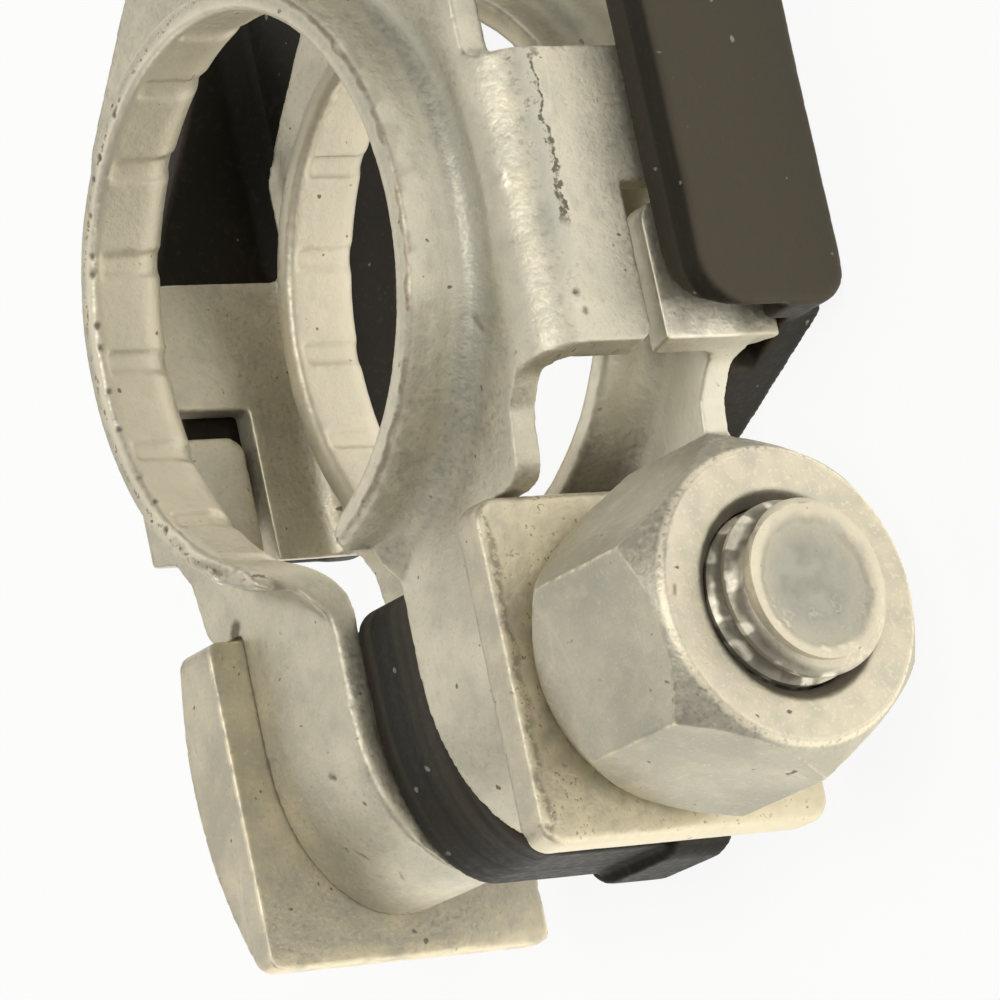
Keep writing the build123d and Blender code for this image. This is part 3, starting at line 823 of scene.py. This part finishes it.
# %% [markdown]
# ## Marks on the bolt
# The bolt's end is dished: a grey bowl that nothing rubs, inside a pale rim that everything
# does. The thread's side is darkened with painted shade, most of all in its roots, and painted
# glints lie on it in patches. The lower edge of the head is rubbed to a yellow strip and
# brightened further as a painted highlight.

# %% Bolt marks
BOWL_GREY = (0.36, 0.352, 0.30)
BOWL_DARK = (0.25, 0.245, 0.21)
SEAM = (0.27, 0.25, 0.20)
SCUFF = (0.92, 0.87, 0.74)
RIM_PALE = (0.80, 0.72, 0.55)
THREAD_PAINTED_SHADE = (0.25, 0.235, 0.19)
PAINTED_GLINT = (0.92, 0.87, 0.72)
HEAD_FOOT_HIGHLIGHT = (0.86, 0.77, 0.55)


def bolt_marks(net, place, patch, fine, tone, dirt_and_shade):
    """Grey bowl and pale rim by the distance from the axis, and painted shade in the thread roots."""
    wander = ramp(net, patch, 0.3, 0.7, -0.1 * MM, 0.1 * MM)
    reach = maths(net, "ADD", from_bolt_axis(net, place), wander)
    axes = put(net, "ShaderNodeSeparateXYZ", ins={0: place})
    x, y = axes.outputs["X"], axes.outputs["Y"]
    # painted highlight along the head's lower face, yellow where it is rubbed
    painted_foot = ramp(net, y, -0.0209, -0.0214, 0, 0.75)
    tone = paint(net, tone, HEAD_FOOT_HIGHLIGHT, painted_foot, ramp(net, patch, 0.35, 0.55, 0.3, 1))

    at_end = ramp(net, x, 0.01772, 0.01778)
    bowl = both(net, ramp(net, reach, 0.00225, 0.0012), at_end)
    tone = paint(net, tone, BOWL_GREY, bowl, 0.8)
    tone = paint(net, tone, BOWL_DARK, bowl, ramp(net, patch, 0.42, 0.68, 0, 0.6))
    seam = both(net, line_at(net, reach, 2.05 * MM, 0.16 * MM, 0.04 * MM), at_end)
    tone = paint(net, tone, SEAM, seam, ramp(net, patch, 0.40, 0.56, 0, 0.35))
    scuff = both(net, ramp(net, y, -0.0160, -0.0170), at_end, ramp(net, patch, 0.52, 0.60))
    tone = paint(net, tone, SCUFF, scuff, ramp(net, fine, 0.46, 0.56), 0.3)
    tone = paint(net, tone, RIM_PALE, ramp(net, reach, 0.0020, 0.0023), at_end, 0.35)

    # painted shade over the thread's side, with painted glints in patches on it
    side = between(net, x, (-0.0030, -0.0020), (0.01785, 0.01765))
    tone = paint(net, tone, THREAD_PAINTED_SHADE, side, 0.7)
    tone = paint(net, tone, PAINTED_GLINT, side, ramp(net, patch, 0.53, 0.62, 0, 0.85))
    # painted shade in the roots of the thread
    return tone, more(net, dirt_and_shade, ramp(net, reach, 0.00283, 0.00268), side, 0.8)


bolt_finish = plating(
    "bolt_plating", (0.49, 0.455, 0.355), (0.59, 0.545, 0.425), rub=1.0, yellow=0.25, marks=bolt_marks
)

# %% [markdown]
# ## Marks on the nut and the washer
# A spanner and the bench polish the nut's end ring, and a thin painted highlight runs round it
# where the chamfer begins. The mouth of its thread is darkened with painted shade. The washer's
# outer face is yellower and speckled, with a ragged line of painted shade along its left edge,
# and its lower edge is rubbed bright and carries a painted highlight.

# %% Nut marks
RING_TONE = (0.66, 0.60, 0.47)
RING_GRAIN = (0.80, 0.72, 0.55)
RING_HIGHLIGHT = (0.93, 0.84, 0.64)


def nut_marks(net, place, patch, fine, tone, dirt_and_shade):
    """The end ring is rubbed bright and ringed by a painted highlight; painted shade fills the thread's
    mouth.
    """
    reach = from_bolt_axis(net, place)
    x = put(net, "ShaderNodeSeparateXYZ", ins={0: place}).outputs["X"]
    ring = ramp(net, x, 0.01658, 0.01668)
    tone = paint(net, tone, RING_TONE, ring, ramp(net, patch, 0.3, 0.6, 0.35, 0.8))
    tone = paint(net, tone, RING_GRAIN, ring, ramp(net, fine, 0.54, 0.66, 0, 0.4))
    # a painted highlight round the ring where the chamfer begins
    ring_highlight = line_at(net, reach, 4.82 * MM, 0.12 * MM, 0.04 * MM)
    ring_highlight = both(net, ring_highlight, ramp(net, x, 0.0160, 0.0164), ramp(net, fine, 0.34, 0.5, 0.2, 1))
    tone = paint(net, tone, RING_HIGHLIGHT, ring_highlight, 0.7)
    # painted shade in the mouth of the thread, between the nut and the bolt
    return tone, more(net, dirt_and_shade, ramp(net, reach, 0.00352, 0.00330), 0.95)


nut_finish = plating(
    "nut_plating", (0.43, 0.41, 0.33), (0.53, 0.50, 0.40), rub=1.0, yellow=0.2, marks=nut_marks
)

# %% Washer marks
FACE_YELLOW = (0.80, 0.72, 0.53)
EDGE_SHADE_LINE = (0.20, 0.175, 0.125)
WASHER_FOOT_HIGHLIGHT = (0.86, 0.78, 0.58)
EDGE_SHADE_Z = 5.38 * MM


def washer_marks(net, place, patch, fine, tone, dirt_and_shade):
    """Yellower, speckled face; painted shade by its left edge; painted highlight on the sheared lower
    edge.
    """
    axes = put(net, "ShaderNodeSeparateXYZ", ins={0: place})
    face = ramp(net, axes.outputs["X"], 0.00898, 0.00906)
    tone = paint(net, tone, FACE_YELLOW, face, ramp(net, patch, 0.3, 0.6, 0.3, 0.8))
    dirt_and_shade = more(net, dirt_and_shade, ramp(net, fine, 0.385, 0.33), ramp(net, patch, 0.50, 0.60), face, 0.7)
    # painted shade in a ragged line beside the washer's left edge
    wavy = maths(net, "ADD", axes.outputs["Z"], ramp(net, patch, 0.3, 0.7, -0.16 * MM, 0.16 * MM))
    edge_shade = both(net, line_at(net, wavy, EDGE_SHADE_Z, 0.22 * MM, 0.04 * MM), face)
    tone = paint(net, tone, EDGE_SHADE_LINE, edge_shade, ramp(net, fine, 0.40, 0.54, 0.25, 1), 0.6)
    # painted highlight along the lower face, yellow where it is rubbed
    return paint(net, tone, WASHER_FOOT_HIGHLIGHT, ramp(net, axes.outputs["Y"], -0.0208, -0.0214, 0, 0.7)), dirt_and_shade


washer_finish = plating(
    "washer_plating", (0.50, 0.465, 0.365), (0.60, 0.555, 0.43), rub=0.5, yellow=0.3, marks=washer_marks
)

# %% [markdown]
# ## Dark plastic
# The saddle is nearly black brown, with a fine moulded grain and rubbed edges. Its outer side
# is painted paler as painted light, each arm's front edge is painted in two strips, a paler one
# as painted reflection and a darker one as painted shade, and the tab between the ears keeps
# streaks from the way the plastic flowed. It needs no metal: a low gloss and the grain's bump
# are enough.

# %% Plastic recipe
PLASTIC_DARK = (0.012, 0.0098, 0.0058)
PLASTIC_LIGHT = (0.019, 0.0155, 0.0092)
PLASTIC_SIDE_PAINTED_LIGHT = (0.056, 0.047, 0.030)
STRIP_PAINTED_REFLECTION = (0.052, 0.045, 0.032)
STRIP_PAINTED_SHADE = (0.009, 0.0075, 0.0045)
PLASTIC_GRAIN = (0.07, 0.062, 0.046)
PLASTIC_WORN = (0.085, 0.065, 0.045)
DUST = (0.35, 0.32, 0.26)
STREAK_LIGHT = (0.055, 0.046, 0.032)
STREAK_DARK = (0.010, 0.0085, 0.006)


def moulding(name):
    """Dark moulded plastic: nearly black brown, a soft grain, paler rubbed edges and dust."""
    finish, net, skin, place = new_finish(name)
    skin.inputs["Specular IOR Level"].default_value = 0.2
    edge = put(net, "ShaderNodeAttribute", attribute_name="edge").outputs["Fac"]
    axes = put(net, "ShaderNodeSeparateXYZ", ins={0: place})
    x, y = axes.outputs["X"], axes.outputs["Y"]
    broad = grain(net, place, 170)
    fine = grain(net, place, 3600, rough=0.65)

    # painted reflection and painted shade in the arm's two strips, and painted light on its outer side,
    # by how far out they lie
    tone = paint(net, PLASTIC_DARK, PLASTIC_LIGHT, ramp(net, broad, 0.35, 0.65))
    tone = paint(net, tone, STRIP_PAINTED_REFLECTION, ramp(net, x, 0.01295, 0.0131), 0.6)
    tone = paint(net, tone, STRIP_PAINTED_SHADE, ramp(net, x, 0.01385, 0.01395), 0.7)
    tone = paint(net, tone, PLASTIC_SIDE_PAINTED_LIGHT, ramp(net, x, 0.01465, 0.0148))
    tone = paint(net, tone, PLASTIC_GRAIN, ramp(net, fine, 0.55, 0.8, 0, 0.25))
    worn = both(net, ramp(net, edge, 0.2, 0.8, 0, 0.45), ramp(net, broad, 0.42, 0.58, 0.1, 1))
    tone = paint(net, tone, PLASTIC_WORN, worn)
    tone = paint(net, tone, DUST, ramp(net, grain(net, place, 2300, 0), 0.82, 0.86), 0.6)

    # lengthwise flow streaks on the tab between the ears
    on_tab = ramp(net, y, -0.0105, -0.0112)
    streak = grain(net, place, 1500, rough=0.5, stretch=(1.0, 0.045, 0.045))
    tone = paint(net, tone, STREAK_LIGHT, ramp(net, streak, 0.50, 0.66, 0, 0.55), on_tab)
    tone = paint(net, tone, STREAK_DARK, ramp(net, streak, 0.46, 0.32, 0, 0.6), on_tab)
    net.links.new(tone, skin.inputs["Base Color"])
    net.links.new(ramp(net, fine, 0.3, 0.7, 0.48, 0.62), skin.inputs["Roughness"])
    height = maths(net, "ADD", both(net, streak, on_tab, 2.0), both(net, fine, 0.5))
    bump = put(net, "ShaderNodeBump", ins={"Strength": 0.5, "Distance": 0.05 * MM, "Height": height})
    net.links.new(bump.outputs[0], skin.inputs["Normal"])
    print(name, "nodes:", len(net.nodes))
    return finish


saddle_finish = moulding("saddle_plastic")

# %% [markdown]
# ## Finish
# Each piece takes its one finish. The head and the thread are parts of one bolt, so they share
# theirs.

# %% Put each finish on its pieces
for piece, finish in (
    (strap, strap_finish), (head, bolt_finish), (shank, bolt_finish),
    (washer, washer_finish), (nut, nut_finish), (saddle, saddle_finish),
):
    piece.data.materials.clear()
    piece.data.materials.append(finish)
    print(piece.name, "is finished in", finish.name)
